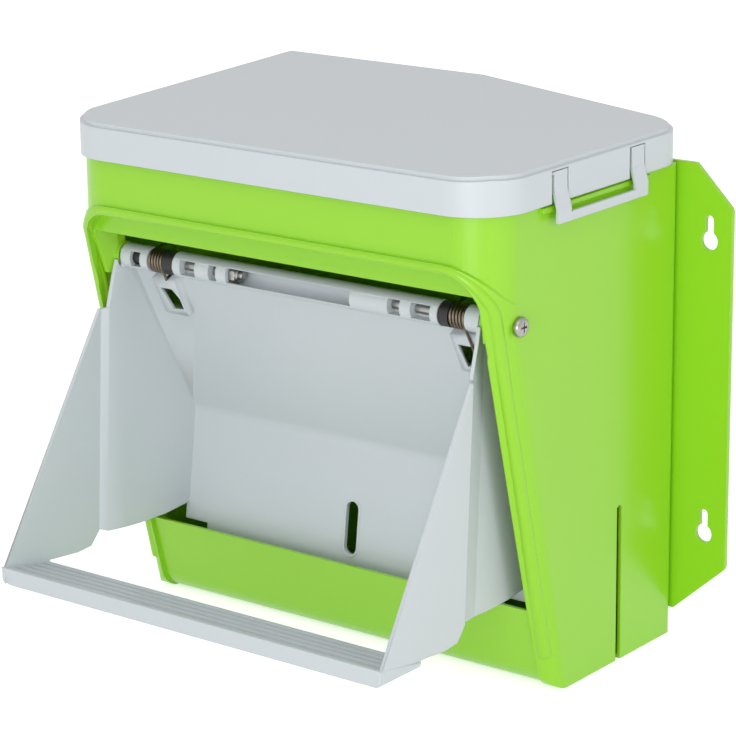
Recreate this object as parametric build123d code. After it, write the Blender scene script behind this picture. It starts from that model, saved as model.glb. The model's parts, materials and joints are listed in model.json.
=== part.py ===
"""Wall-mounted poultry feeder with a treadle flap, a lift-off lid and a tapered feed housing.

Millimetres. X runs across the feeder, Y towards the wall, Z up. The wall plane is Y = 0,
the underside of the housing is Z = 0 and the middle of the width is X = 0. The written
pieces are lowered by ORIGIN_Z, so their origin is the middle of the four keyholes.
"""
import math
import os

from build123d import *

# Housing
HOUSING_W = 322.0
HOUSING_TOP = 322.6
FRONT_Y = -203.5
REAR_Y = -2.8
WALL = 2.5
KNEE_Z = 258.0
SLOPE_DEG = 15.3
CORNER_R = 29.0
LOW_CORNER_R = 12.0
REAR_CORNER_R = 8.0
NECK_Z = 303.5
NECK_REAR_R = 24.0
TOE_R = 18.0

# Front opening and the raised rim round it
OPENING_W = 300.0
OPENING_TOP = 270.5
OPENING_R = 21.0
LIP_TOP = 54.0
RIM_TOP_W = 5.5
RIM_SIDE_W = 12.0
RIM_R = 33.0
RIM_PROUD = 3.0
RIM_DEPTH = 15.5
HOOD_PANEL_Y = -193.2
HOOD_PANEL_LOW = 256.0
HOOD_PANEL_EDGE = ((121.0, 256.0), (124.5, 253.0), (128.7, 245.7), (133.4, 236.0), (136.2, 229.2), (149.0, 205.0))

# Wall flanges and their keyholes
FLANGE_REACH = 39.0
FLANGE_THICK = 3.2
FLANGE_TOP = 304.4
FLANGE_LOW = 15.0
FLANGE_TOP_CHAMFER = 26.0
FLANGE_TOP_FLAT = 11.0
FLANGE_LOW_CHAMFER = 33.0
FLANGE_EDGE_R = 5.0
FLANGE_INNER_X = 146.0
KEYHOLE_X = 182.3
KEYHOLE_HIGH = 257.0
KEYHOLE_LOW = 69.0
KEYHOLE_R = 5.9
KEYHOLE_SLOT_W = 5.8
KEYHOLE_SLOT_RISE = 13.0

# Side slits and lid-clip ribs
SLIT_Y = -67.0
SLIT_TOP = 101.0
SLIT_W_LOW = 3.6
SLIT_W_HIGH = 2.0
RIB_FRONT_Y = -154.0
RIB_REAR_Y = -41.0
RIB_LOW = 299.5
RIB_H = 3.6
RIB_PROUD = 2.2

# Hinge line
HINGE_Y = -175.0
HINGE_Z = 238.0
BOLT_D = 6.0
BOLT_L = 118.0
HEAD_D = 12.0
HEAD_H = 3.9
RECESS_ARM = 3.1
RECESS_W = 1.1
RECESS_DEPTH = 2.0
RUN_CLEAR = 0.05
BOLT_CLEAR = 0.2
BOSS_R = 8.6
NUT_AF = 10.0
NUT_H = 4.2
NUT_COLLAR_D = 8.6
NUT_COLLAR_H = 1.8
SEAT_GAP = 0.3

# Feed baffle inside the housing
BAFFLE_THICK = 2.5
BAFFLE_TOP_Z = 300.0
BAFFLE_BEND_Y = -120.0
BAFFLE_BEND_Z = 256.0
BAFFLE_LOW_Y = -36.0
BAFFLE_LOW_Z = 60.0
SPRING_STOP_W = 14.0
SPRING_STOP_Y = -153.0
SPRING_STOP_THICK = 3.0

# Flap: barrel, door panel, wings and perch bar
BARREL_R = 8.0
BARREL_HALF = 138.0
DOOR_THICK = 2.5
FOLD_Y = -119.6
FOLD_Z = 126.0
FOLD_R = 12.0
DOOR_LOW_Y = -129.6
DOOR_LOW_Z = 51.0
DOOR_STRIP_HALF = 118.0
DOOR_STRIP_DROP = 5.0
WING_THICK = 2.5
WING_LOW_Z = 61.0
WING_LEAN = 0.064
WING_PLAN = ((-95.0, 134.2), (-127.0, 136.6), (-188.0, 138.9), (-201.0, 142.4), (-206.5, 145.2), (-305.0, 148.0))
WING_FRONT = ((-183.0, 243.0), (-187.5, 227.7), (-191.6, 209.5), (-192.0, 207.3), (-198.0, 206.5))
WING_BASE = ((-226.0, 53.0), (-214.0, 54.0), (-206.0, 63.0), (-200.0, 61.5), (-174.0, 60.0), (-151.0, 60.0))
TOE_FRONT_Y = -290.0
TOE_Z = 58.0
BAR_REAR_Y = -252.0
BAR_REAR_Z = 54.5
BAR_TOP_Z = 61.0
BAR_LOW_Z = 49.5
BAR_WALL = 2.6
BAR_GROOVES = 4
BAR_HALF = 147.6
BAR_END_R = 6.0
BAR_GROOVE_W = 2.8
BAR_GROOVE_DEPTH = 1.1
DRAIN_SLOT_W = 9.5
DRAIN_SLOT_L = 34.0
DRAIN_SLOT_Z = 70.5
DRAIN_RIM_W = 1.5
DRAIN_RIM_H = 0.7

# Along the barrel, from the left end to the right
LEFT_SPRING_POCKET = (-116.2, -95.0)
RIGHT_SPRING_POCKET = (108.4, 127.8)
NUT_CHANNEL = (-52.0, 44.0)
NUT_POCKET_END = 52.0
NUT_SEAT_X = 51.5
CHANNEL_WALL = 1.8
BARREL_WINDOWS = ((-130.0, -122.0), (-89.0, -77.0), (-66.0, -60.0), (72.0, 81.0), (89.0, 103.0))
WINDOW_H = 9.4

# Torsion springs, their bushes and the windows that the long legs pass through
WIRE_D = 1.8
COIL_R = 6.8
COIL_PITCH = 2.3
COIL_TURNS = 4
LEG_L = 24.5
LEG_BEND_R = 2.0
HOOK_L = 7.0
STOP_LEG_RISE_DEG = 10.0
STOP_LEG_L = 27.0
BUSH_R = 5.5
BUSH_COLLAR_R = 7.6
END_BUSH_R = 5.0
END_BUSH_FLANGE_R = 7.4
END_BUSH_FLANGE = 0.8
BRACKET_H = 5.6
BRACKET_WALL = 2.0
BRACKET_NEAR = 10.4
BRACKET_FAR = 38.5
LEFT_BRACKET = (-118.5, -99.4)
RIGHT_BRACKET = (112.2, 131.0)
LEFT_WINDOW = ((-115.0, 17.9), (-105.2, 17.9), (-101.6, 25.0), (-101.6, 33.5), (-110.7, 35.0))
RIGHT_WINDOW = ((115.6, 17.9), (128.6, 17.9), (128.6, 27.5), (124.0, 34.2), (117.6, 34.8))

# Lid
LID_W = 330.0
LID_FRONT_Y = -207.5
LID_REAR_Y = -0.2
LID_SKIRT_LOW = 305.0
LID_EDGE_Z = 325.3
LID_PANEL_H = 2.3
LID_PANEL_INSET = 2.6
LID_PANEL_EDGE_R = 1.4
LID_WALL = 2.2
LID_R = 35.0
LID_REAR_R = 26.0
LID_RISE = 14.6
LID_CREST_RIGHT_X = 11.6
LID_CREST_LEFT_X = -143.3

# Lid clips, one each side
CLIP_FRONT_Y = -145.5
CLIP_REAR_Y = -51.0
CLIP_ARM_W = 13.0
CLIP_TOP = 323.4
CLIP_LOW = 293.0
CLIP_BAR_H = 5.4
CLIP_THICK = 2.2
CLIP_KICK = 3.2
CLIP_GAP = 0.6
CLIP_SLIT = 1.4
CLIP_FRONT_SLIT = 2.6
CLIP_PEG_R = 0.75
CLIP_PEG_L = 3.8
CLIP_PIVOT_DROP = 1.1

HALF_W = HOUSING_W / 2
ORIGIN_Z = (KEYHOLE_HIGH + KEYHOLE_LOW) / 2
SLOPE = math.tan(math.radians(SLOPE_DEG))
FOOT_FRONT_Y = FRONT_Y + KNEE_Z * SLOPE
FAR = 500.0


def front_at(z):
    """Y of the housing's front at height z, below the knee."""
    return FRONT_Y + (KNEE_Z - z) * SLOPE


def plan_face(half_w, y_front, y_rear, r_front, r_rear, z):
    """Horizontal rounded rectangle with its own front and rear corner radii."""
    outline = Polyline((-half_w, y_front), (half_w, y_front), (half_w, y_rear), (-half_w, y_rear), close=True)
    face = make_face(outline)
    front = [v for v in face.vertices() if abs(v.Y - y_front) < 0.01]
    face = fillet(front, r_front)
    rear = [v for v in face.vertices() if abs(v.Y - y_rear) < 0.01 and abs(abs(v.X) - half_w) < 0.01]
    face = fillet(rear, r_rear)
    return Pos(0, 0, z) * face


def side_prism(points, x_low, x_high):
    """Prism along X from an outline of (y, z) points."""
    face = make_face(Polyline(*[(y, z) for y, z in points], close=True))
    solid = extrude(Plane.YZ * face, amount=x_high - x_low)
    return Pos(x_low, 0, 0) * solid


def front_prism(points, y_low, y_high):
    """Prism along Y from an outline of (x, z) points."""
    face = make_face(Polyline(*[(x, z) for x, z in points], close=True))
    return Pos(0, y_high, 0) * extrude(Plane.XZ * face, amount=y_high - y_low)


def x_rod(radius, x_low, x_high):
    """Cylinder on the hinge line."""
    rod = Cylinder(radius, x_high - x_low, align=(Align.CENTER, Align.CENTER, Align.MIN))
    return Pos(x_low, HINGE_Y, HINGE_Z) * Rot(0, 90, 0) * rod


def block(x, y, z):
    """Box from three (low, high) pairs."""
    size = [high - low for low, high in (x, y, z)]
    middle = [(low + high) / 2 for low, high in (x, y, z)]
    return Pos(*middle) * Box(*size)


def housing_form(inset, front_shift=0.0, low=0.0):
    """Upright upper part and a lower part whose front slopes back, inset all round."""
    half_w = HALF_W - inset
    y_rear = REAR_Y - inset
    y_front = FRONT_Y + inset - front_shift
    foot_y = FOOT_FRONT_Y + inset - front_shift
    upper_face = plan_face(half_w, y_front, y_rear, CORNER_R - inset, REAR_CORNER_R - inset, KNEE_Z)
    lower_face = plan_face(half_w, foot_y, y_rear, LOW_CORNER_R - inset, REAR_CORNER_R - inset, 0)
    shoulder = NECK_Z - inset
    neck_face = plan_face(half_w, y_front, y_rear, CORNER_R - inset, NECK_REAR_R - inset, shoulder)
    upper = extrude(upper_face, amount=shoulder - KNEE_Z)
    neck = extrude(neck_face, amount=HOUSING_TOP - shoulder)
    lower = loft([lower_face, upper_face])
    return (upper + neck + lower) & toe_profile(foot_y, low, TOE_R - inset)


def toe_profile(foot_y, low, radius):
    """Wide prism with the housing's front slope, a flat underside and a rounded toe."""
    knee_y = foot_y - KNEE_Z * SLOPE
    low_y = foot_y - low * SLOPE
    points = [(low_y, low), (FAR, low), (FAR, FAR), (knee_y, FAR), (knee_y, KNEE_Z)]
    face = make_face(Polyline(*points, close=True))
    toe = [v for v in face.vertices() if abs(v.X - low_y) < 0.01 and abs(v.Y - low) < 0.01]
    face = fillet(toe, radius)
    return Pos(-FAR / 2, 0, 0) * extrude(Plane.YZ * face, amount=FAR)


def arch(half_w, top, radius, y_low, y_high, bottom=-FAR):
    """Upright prism with a round-cornered top, through the front of the housing."""
    face = make_face(Polyline((-half_w, bottom), (half_w, bottom), (half_w, top), (-half_w, top), close=True))
    face = fillet([v for v in face.vertices() if abs(v.Y - top) < 0.01], radius)
    return Pos(0, y_high, 0) * extrude(Plane.XZ * face, amount=y_high - y_low)


def keyhole(x, z):
    """Round entry with a narrow slot above it, through the flange."""
    half = KEYHOLE_SLOT_W / 2
    entry = Pos(x, 0, z) * Rot(90, 0, 0) * Cylinder(KEYHOLE_R, FLANGE_THICK * 4)
    slot = block((x - half, x + half), (-FLANGE_THICK * 2, FLANGE_THICK * 2), (z, z + KEYHOLE_SLOT_RISE))
    end = Pos(x, 0, z + KEYHOLE_SLOT_RISE) * Rot(90, 0, 0) * Cylinder(half, FLANGE_THICK * 4)
    return entry + slot + end


def wall_flange(side):
    """Upright fixing plate at the rear, with cut corners and two keyholes."""
    edge = HALF_W + FLANGE_REACH - 2.0
    shoulder = HALF_W + FLANGE_TOP_FLAT
    points = [
        (FLANGE_INNER_X, FLANGE_LOW), (HALF_W, FLANGE_LOW), (edge, FLANGE_LOW + FLANGE_LOW_CHAMFER),
        (edge, FLANGE_TOP - FLANGE_TOP_CHAMFER), (shoulder, FLANGE_TOP), (FLANGE_INNER_X, FLANGE_TOP),
    ]
    plate = front_prism([(side * x, z) for x, z in points], -FLANGE_THICK, 0)
    corners = [e for e in plate.edges().filter_by(Axis.Y) if abs(abs(e.center().X) - edge) < 0.01]
    plate = fillet(corners, FLANGE_EDGE_R)
    for z in (KEYHOLE_HIGH, KEYHOLE_LOW):
        plate -= keyhole(side * KEYHOLE_X, z)
    return plate


def side_slit(side):
    """Tapering slit, open at the bottom of the side wall."""
    points = [
        (SLIT_Y - SLIT_W_LOW / 2, -1), (SLIT_Y + SLIT_W_LOW / 2, -1),
        (SLIT_Y + SLIT_W_HIGH / 2, SLIT_TOP), (SLIT_Y - SLIT_W_HIGH / 2, SLIT_TOP),
    ]
    inner = HALF_W - WALL - 1
    low, high = sorted((side * inner, side * (HALF_W + 1)))
    return side_prism(points, low, high)


def hinge_boss(side):
    """Tube inside the side wall that carries the hinge bolt up to the flap's barrel."""
    low, high = sorted((side * (BARREL_HALF + END_BUSH_FLANGE + SEAT_GAP), side * (HALF_W - WALL / 2)))
    return x_rod(BOSS_R, low, high)


def clip_rib(side):
    """Catch under the lid's skirt."""
    low, high = sorted((side * (HALF_W - WALL / 2), side * (HALF_W + RIB_PROUD)))
    rib = block((low, high), (RIB_FRONT_Y, RIB_REAR_Y), (RIB_LOW, RIB_LOW + RIB_H))
    outer = [e for e in rib.edges().filter_by(Axis.Y) if abs(abs(e.center().X) - HALF_W - RIB_PROUD) < 0.01]
    return fillet(outer, RIB_H / 4)


def opening_rim():
    """Raised band round the front opening and its return wall inside."""
    half = OPENING_W / 2
    void = arch(half, OPENING_TOP, OPENING_R, -FAR, BAFFLE_BEND_Y)
    band = arch(half + RIM_SIDE_W, OPENING_TOP + RIM_TOP_W, RIM_R, -FAR, BAFFLE_BEND_Y) - void
    lining = arch(half + WALL, OPENING_TOP + WALL, OPENING_R + WALL, -FAR, BAFFLE_BEND_Y) - void
    proud = housing_form(0, RIM_PROUD)
    behind = housing_form(WALL, RIM_PROUD - WALL)
    deep = housing_form(0, WALL - RIM_DEPTH)
    return (proud & band) - behind, (proud - deep) & lining


def hood_panel():
    """Panel set back inside the rim, above and beside the hinge barrel."""
    y_low, y_high = HOOD_PANEL_Y, HOOD_PANEL_Y + WALL
    whole = arch(OPENING_W / 2 + 1, OPENING_TOP + 1, OPENING_R + 1, y_low, y_high, HOOD_PANEL_EDGE[-1][1])
    right = [(x, z) for x, z in HOOD_PANEL_EDGE]
    left = [(-x, z) for x, z in reversed(HOOD_PANEL_EDGE)]
    low = HOOD_PANEL_EDGE[-1][1] - 5
    edge_x = HOOD_PANEL_EDGE[-1][0]
    return whole - front_prism(right + [(edge_x, low), (-edge_x, low)] + left, y_low - 1, y_high + 1)


def make_housing():
    """One moulding: hopper, hood, trough, flanges, bosses and ribs."""
    shell = housing_form(0) - housing_form(WALL, 0, WALL)
    band, returns = opening_rim()
    shell = shell + band + returns
    shell -= arch(OPENING_W / 2, OPENING_TOP, OPENING_R, -FAR, HINGE_Y + BOSS_R * 4, LIP_TOP)
    shell += hood_panel()
    for side in (-1, 1):
        shell += wall_flange(side)
        shell += hinge_boss(side)
        shell += clip_rib(side)
        shell -= side_slit(side)
    hole = BOLT_D / 2 + BOLT_CLEAR
    for low, high in ((-FAR, -BARREL_HALF), (BARREL_HALF, FAR)):
        shell -= x_rod(hole, low, high)
    return shell


def make_baffle():
    """Bent sheet that leads the feed back and down to the trough, with two spring stops."""
    half = HALF_W - WALL - SEAT_GAP
    front = FRONT_Y + WALL + SEAT_GAP
    drop = BAFFLE_THICK / math.cos(math.atan2(BAFFLE_TOP_Z - BAFFLE_BEND_Z, BAFFLE_BEND_Y - front))
    back = BAFFLE_THICK / math.sin(math.atan2(BAFFLE_BEND_Z - BAFFLE_LOW_Z, BAFFLE_LOW_Y - BAFFLE_BEND_Y))
    points = [
        (front, BAFFLE_TOP_Z), (BAFFLE_BEND_Y, BAFFLE_BEND_Z), (BAFFLE_LOW_Y, BAFFLE_LOW_Z),
        (BAFFLE_LOW_Y + back, BAFFLE_LOW_Z), (BAFFLE_BEND_Y + back / 2, BAFFLE_BEND_Z + drop),
        (front, BAFFLE_TOP_Z + drop),
    ]
    sheet = side_prism(points, -half, half)
    trimmed = sheet & housing_form(WALL + SEAT_GAP)
    return trimmed + spring_stops()


def baffle_under(y):
    """Height of the baffle's underside at depth y, on its upper slope."""
    front = FRONT_Y + WALL + SEAT_GAP
    share = (y - front) / (BAFFLE_BEND_Y - front)
    return BAFFLE_TOP_Z + share * (BAFFLE_BEND_Z - BAFFLE_TOP_Z)


def spring_stops():
    """Ribs under the baffle, one above the short leg of each spring."""
    y_low, y_high = SPRING_STOP_Y, SPRING_STOP_Y + SPRING_STOP_THICK
    rise = math.sin(math.radians(STOP_LEG_RISE_DEG)) * (y_high - HINGE_Y)
    leg_top = HINGE_Z + COIL_R + WIRE_D / 2 + rise
    stops = []
    for x in (stop_leg_x(-1), stop_leg_x(1)):
        half = SPRING_STOP_W / 2
        stops.append(block((x - half, x + half), (y_low, y_high),
                           (leg_top + SEAT_GAP, baffle_under(y_low) + 1.0)))
    return stops[0] + stops[1]


def wire_start_x(side):
    """X of a spring's long leg; both springs have the same hand, so it is the right-hand end."""
    inset = SEAT_GAP + WIRE_D / 2
    if side > 0:
        return RIGHT_SPRING_POCKET[1] - inset
    return LEFT_SPRING_POCKET[0] + inset + COIL_PITCH * coil_sweep_deg() / 360.0


def coil_sweep_deg():
    """Angle wound from the long leg to the short one."""
    return 360.0 * COIL_TURNS + long_leg_deg() - (90.0 + STOP_LEG_RISE_DEG)


def long_leg_deg():
    """Angle on the coil at which the long leg leaves it, parallel to the door."""
    door_deg = math.degrees(math.atan2(FOLD_Z - HINGE_Z, FOLD_Y - HINGE_Y))
    return door_deg + 270.0


def stop_leg_x(side):
    """X of a spring's short leg."""
    return wire_start_x(side) - COIL_PITCH * coil_sweep_deg() / 360.0


def coil_point(side, turned_deg):
    """Point and unit tangent on the coil after a turn of so many degrees from the long leg."""
    angle = math.radians(long_leg_deg() - turned_deg)
    x = wire_start_x(side) - COIL_PITCH * turned_deg / 360.0
    point = Vector(x, HINGE_Y + COIL_R * math.cos(angle), HINGE_Z + COIL_R * math.sin(angle))
    climb = -COIL_PITCH / (2 * math.pi)
    tangent = Vector(climb, COIL_R * math.sin(angle), -COIL_R * math.cos(angle)).normalized()
    return point, tangent


def biarc(start, start_dir, end, end_dir):
    """Two arcs that join two points with given directions."""
    chord = end - start
    total = start_dir + end_dir
    slack = 2 * (1 - start_dir.dot(end_dir))
    along = chord.dot(total)
    reach = (math.sqrt(along ** 2 + slack * chord.dot(chord)) - along) / slack
    middle = (start + start_dir * reach + end - end_dir * reach) / 2
    middle_dir = (end - end_dir * reach - start - start_dir * reach).normalized()
    first = Edge.make_tangent_arc(start, start_dir, middle)
    second = Edge.make_tangent_arc(middle, middle_dir, end)
    return [first, second]


def spring_path(side):
    """Edges of a spring's wire, from the long leg's hook round the coil to the short leg."""
    quarter = 90.0
    steps = math.ceil(coil_sweep_deg() / quarter)
    angles = [coil_sweep_deg() * i / steps for i in range(steps + 1)]
    ends = [coil_point(side, angle) for angle in angles]
    first_point, first_dir = ends[0]
    last_point, last_dir = ends[-1]
    inward = door_plane().z_dir * -1
    corner = first_point - first_dir * LEG_L
    bend_start = corner + inward * LEG_BEND_R
    bend_end = corner + first_dir * LEG_BEND_R
    edges = [
        Edge.make_line(bend_start + inward * HOOK_L, bend_start),
        Edge.make_tangent_arc(bend_start, inward * -1, bend_end),
        Edge.make_line(bend_end, first_point),
    ]
    for (p, t), (q, u) in zip(ends, ends[1:]):
        edges += biarc(p, t, q, u)
    edges.append(Edge.make_line(last_point, last_point + last_dir * STOP_LEG_L))
    return edges


def make_spring(side):
    """Torsion spring as one swept wire."""
    edges = spring_path(side)
    path = Wire(edges)
    start_dir = edges[0] % 0
    section = Plane(origin=edges[0] @ 0, z_dir=start_dir) * Circle(WIRE_D / 2)
    return sweep(section, path=path)


def least_coil_gap():
    """Least gap between one turn of the coil and the next."""
    least = FAR
    step = 6
    count = int(coil_sweep_deg() // step)
    points = [coil_point(1, i * step)[0] for i in range(count + 1)]
    for i, point in enumerate(points):
        for other in points[i + 180 // step:]:
            least = min(least, (point - other).length - WIRE_D)
    return least


def make_spring_bush(side):
    """Sleeve that centres the coil on the bolt, with a collar beside it."""
    low, high = LEFT_SPRING_POCKET if side < 0 else RIGHT_SPRING_POCKET
    room = WIRE_D / 2 + SEAT_GAP
    if side < 0:
        collar = (wire_start_x(side) + room, high - SEAT_GAP)
    else:
        collar = (low + SEAT_GAP, stop_leg_x(side) - room)
    bush = x_rod(BUSH_R, low + SEAT_GAP, high - SEAT_GAP) + x_rod(BUSH_COLLAR_R, *collar)
    return bush - x_rod(BOLT_D / 2 + RUN_CLEAR, low - 1, high + 1)


def make_end_bush(side):
    """Flanged bearing bush in the outer end of the barrel."""
    inner_x = LEFT_SPRING_POCKET[0] if side < 0 else RIGHT_SPRING_POCKET[1]
    end = side * BARREL_HALF
    sleeve = sorted((inner_x + side * SEAT_GAP, end))
    flange = sorted((end, end + side * END_BUSH_FLANGE))
    bush = x_rod(END_BUSH_R, *sleeve) + x_rod(END_BUSH_FLANGE_R, *flange)
    return bush - x_rod(BOLT_D / 2 + RUN_CLEAR, sleeve[0] - 5, sleeve[1] + 5)


def make_bolt(side):
    """Pan-head bolt with a cross recess, put in from outside the side wall."""
    seat = side * HALF_W
    tip = side * (HALF_W - BOLT_L)
    shank = x_rod(BOLT_D / 2, *sorted((seat, tip)))
    tip_edges = [e for e in shank.edges().filter_by(GeomType.CIRCLE) if abs(e.center().X - tip) < 0.01]
    shank = chamfer(tip_edges, BOLT_D / 12)
    head = x_rod(HEAD_D / 2, *sorted((seat, seat + side * HEAD_H)))
    rim = [e for e in head.edges().filter_by(GeomType.CIRCLE)
           if abs(e.center().X - seat - side * HEAD_H) < 0.01]
    head = fillet(rim, HEAD_H * 0.62)
    x_range = sorted((seat + side * (HEAD_H - RECESS_DEPTH), seat + side * (HEAD_H + 1)))
    for reach_y, reach_z in ((RECESS_ARM, RECESS_W / 2), (RECESS_W / 2, RECESS_ARM)):
        head -= block(x_range, (HINGE_Y - reach_y, HINGE_Y + reach_y), (HINGE_Z - reach_z, HINGE_Z + reach_z))
    return shank + head


def nut_seat_x(side):
    """X of the lock nut's face against the end of the flap's bored barrel."""
    return side * NUT_SEAT_X


def make_nut(side):
    """Hexagon lock nut with a round collar, towards the bolt's tip."""
    seat = nut_seat_x(side)
    hexagon = RegularPolygon(NUT_AF / 2, 6, major_radius=False)
    body = extrude(hexagon, amount=NUT_H)
    body &= Pos(0, 0, NUT_H / 2) * Cylinder(NUT_AF / 2 * 1.1, NUT_H)
    collar = Pos(0, 0, NUT_H + NUT_COLLAR_H / 2) * Cylinder(NUT_COLLAR_D / 2, NUT_COLLAR_H)
    nut = body + collar
    nut -= Pos(0, 0, NUT_H) * Cylinder(BOLT_D / 2, NUT_H * 4)
    turn = 90 if side < 0 else -90
    return Pos(seat, HINGE_Y, HINGE_Z) * Rot(0, turn, 0) * nut


def unit(a, b):
    """Unit vector from a to b, in the YZ plane."""
    length = math.hypot(b[0] - a[0], b[1] - a[1])
    return (b[0] - a[0]) / length, (b[1] - a[1]) / length


def door_plane():
    """Plane of the door's upper front face, from the hinge line, facing out."""
    down = unit((HINGE_Y, HINGE_Z), (FOLD_Y, FOLD_Z))
    return Plane(origin=(0, HINGE_Y, HINGE_Z), x_dir=(1, 0, 0), z_dir=(0, down[1], -down[0]))


def door_prism(points, low, high):
    """Prism square to the door from (x, distance below the hinge line) points."""
    face = make_face(Polyline(*[(x, -s) for x, s in points], close=True))
    return door_plane() * (Pos(0, 0, low) * extrude(face, amount=high - low))


def door_outline():
    """Bent door in section: front face from the barrel to the fold and down into the trough."""
    top = (HINGE_Y, HINGE_Z)
    fold = (FOLD_Y, FOLD_Z)
    low = (DOOR_LOW_Y, DOOR_LOW_Z)
    upper = unit(top, fold)
    lower = unit(fold, low)
    start = (top[0] + upper[0] * BARREL_R * 0.7, top[1] + upper[1] * BARREL_R * 0.7)
    back_top = (start[0] - upper[1] * DOOR_THICK, start[1] + upper[0] * DOOR_THICK)
    back_low = (low[0] - lower[1] * DOOR_THICK, low[1] + lower[0] * DOOR_THICK)
    half_turn = (math.atan2(upper[1], upper[0]) - math.atan2(lower[1], lower[0])) / 2
    middle = unit((0, 0), (-(upper[1] + lower[1]), upper[0] + lower[0]))
    reach = DOOR_THICK / math.cos(half_turn)
    back_fold = (fold[0] + middle[0] * reach, fold[1] + middle[1] * reach)
    return [start, fold, low, back_low, back_fold, back_top]


def door_strip():
    """Strip that lengthens the middle of the door's lower edge, down behind the trough's lip."""
    down = unit((FOLD_Y, FOLD_Z), (DOOR_LOW_Y, DOOR_LOW_Z))
    back = (-down[1] * DOOR_THICK, down[0] * DOOR_THICK)
    foot = (DOOR_LOW_Y + down[0] * DOOR_STRIP_DROP, DOOR_LOW_Z + down[1] * DOOR_STRIP_DROP)
    start = (DOOR_LOW_Y - down[0], DOOR_LOW_Z - down[1])
    points = [start, foot, (foot[0] + back[0], foot[1] + back[1]), (start[0] + back[0], start[1] + back[1])]
    return side_prism(points, -DOOR_STRIP_HALF, DOOR_STRIP_HALF)


def make_door():
    """Door panel between the wings, with a soft fold across it."""
    door = side_prism(door_outline(), -BARREL_HALF - 4, BARREL_HALF + 4)
    front = [e for e in door.edges().filter_by(Axis.X)
             if abs(e.center().Z - FOLD_Z) < 0.5 and abs(e.center().Y - FOLD_Y) < 0.1]
    door = fillet(front, FOLD_R)
    door = (door & wing_envelope(0)) + door_strip()
    for low, high in ((-FAR, -BARREL_HALF), (BARREL_HALF, FAR)):
        door -= x_rod(BOSS_R + 1.2, low, high)
    return door


def leg_bracket(side):
    """Raised hollow bracket on the door that a spring's long leg lies on."""
    low, high = LEFT_BRACKET if side < 0 else RIGHT_BRACKET
    near, far = BRACKET_NEAR, BRACKET_FAR
    outer = door_prism([(low, near), (high, near), (high, far), (low, far)], -DOOR_THICK / 2, BRACKET_H)
    wall = BRACKET_WALL
    inner = [(low + wall, near + wall), (high - wall, near + wall), (high - wall, far - wall), (low + wall, far - wall)]
    return outer, door_prism(inner, -DOOR_THICK * 2, BRACKET_H - wall)


def leg_window(side):
    """Window in a bracket's front, for the hook of the spring's long leg."""
    seen = LEFT_WINDOW if side < 0 else RIGHT_WINDOW
    return door_prism(seen, -DOOR_THICK * 2, BRACKET_H + 1)


def drain_slot(extra):
    """Upright round-ended slot through the lower part of the door, or its rim when enlarged."""
    half = DRAIN_SLOT_W / 2 + extra
    run = (DRAIN_SLOT_L - DRAIN_SLOT_W) / 2
    middle_y = (FOLD_Y + DOOR_LOW_Y) / 2
    reach = DOOR_THICK * 8
    slot = block((-half, half), (middle_y - reach, middle_y + reach), (DRAIN_SLOT_Z - run, DRAIN_SLOT_Z + run))
    for z in (DRAIN_SLOT_Z - run, DRAIN_SLOT_Z + run):
        slot += Pos(0, middle_y, z) * Rot(90, 0, 0) * Cylinder(half, 2 * reach)
    return slot


def slot_rim():
    """Thin raised rim round the slot on the door's front face."""
    fold, low = (FOLD_Y, FOLD_Z), (DOOR_LOW_Y, DOOR_LOW_Z)
    down = unit(fold, low)
    out = (down[1], -down[0])
    points = [fold, low, (low[0] + out[0] * DRAIN_RIM_H, low[1] + out[1] * DRAIN_RIM_H),
              (fold[0] + out[0] * DRAIN_RIM_H, fold[1] + out[1] * DRAIN_RIM_H)]
    skin = side_prism(points, -DRAIN_SLOT_W * 2, DRAIN_SLOT_W * 2)
    return (skin & drain_slot(DRAIN_RIM_W)) - drain_slot(0)


def make_barrel():
    """Hinge barrel with its windows, spring pockets and open nut channel."""
    barrel = x_rod(BARREL_R, -BARREL_HALF, BARREL_HALF)
    channel_low, channel_high = NUT_CHANNEL
    barrel -= x_rod(BARREL_R - CHANNEL_WALL, channel_low, NUT_POCKET_END)
    barrel -= block((channel_low, channel_high), (HINGE_Y - BARREL_R - 1, HINGE_Y + 1.0),
                    (HINGE_Z - BARREL_R * 0.55, HINGE_Z + BARREL_R * 0.62))
    barrel -= x_rod(BOLT_D / 2 + RUN_CLEAR, -BARREL_HALF, BARREL_HALF)
    for side in (-1, 1):
        inner_x = LEFT_SPRING_POCKET[0] if side < 0 else RIGHT_SPRING_POCKET[1]
        barrel -= x_rod(END_BUSH_R, *sorted((inner_x, side * BARREL_HALF)))
    half = WINDOW_H / 2
    for low, high in BARREL_WINDOWS:
        barrel -= block((low, high), (HINGE_Y - BARREL_R - 1, HINGE_Y), (HINGE_Z - half, HINGE_Z + half))
    return barrel


def wing_envelope(inset):
    """Space between the wings, which flare and step outwards to the front, less an inset each side."""
    base_z = DOOR_LOW_Z - 20
    shift = WING_LEAN * (base_z - WING_LOW_Z)
    right = [(x - inset, y + shift) for y, x in WING_PLAN]
    left = [(-x, y) for x, y in reversed(right)]
    face = Pos(0, 0, base_z) * make_face(Polyline(*right, *left, close=True))
    return extrude(face, amount=HINGE_Z, dir=(0, WING_LEAN, 1))


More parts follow.
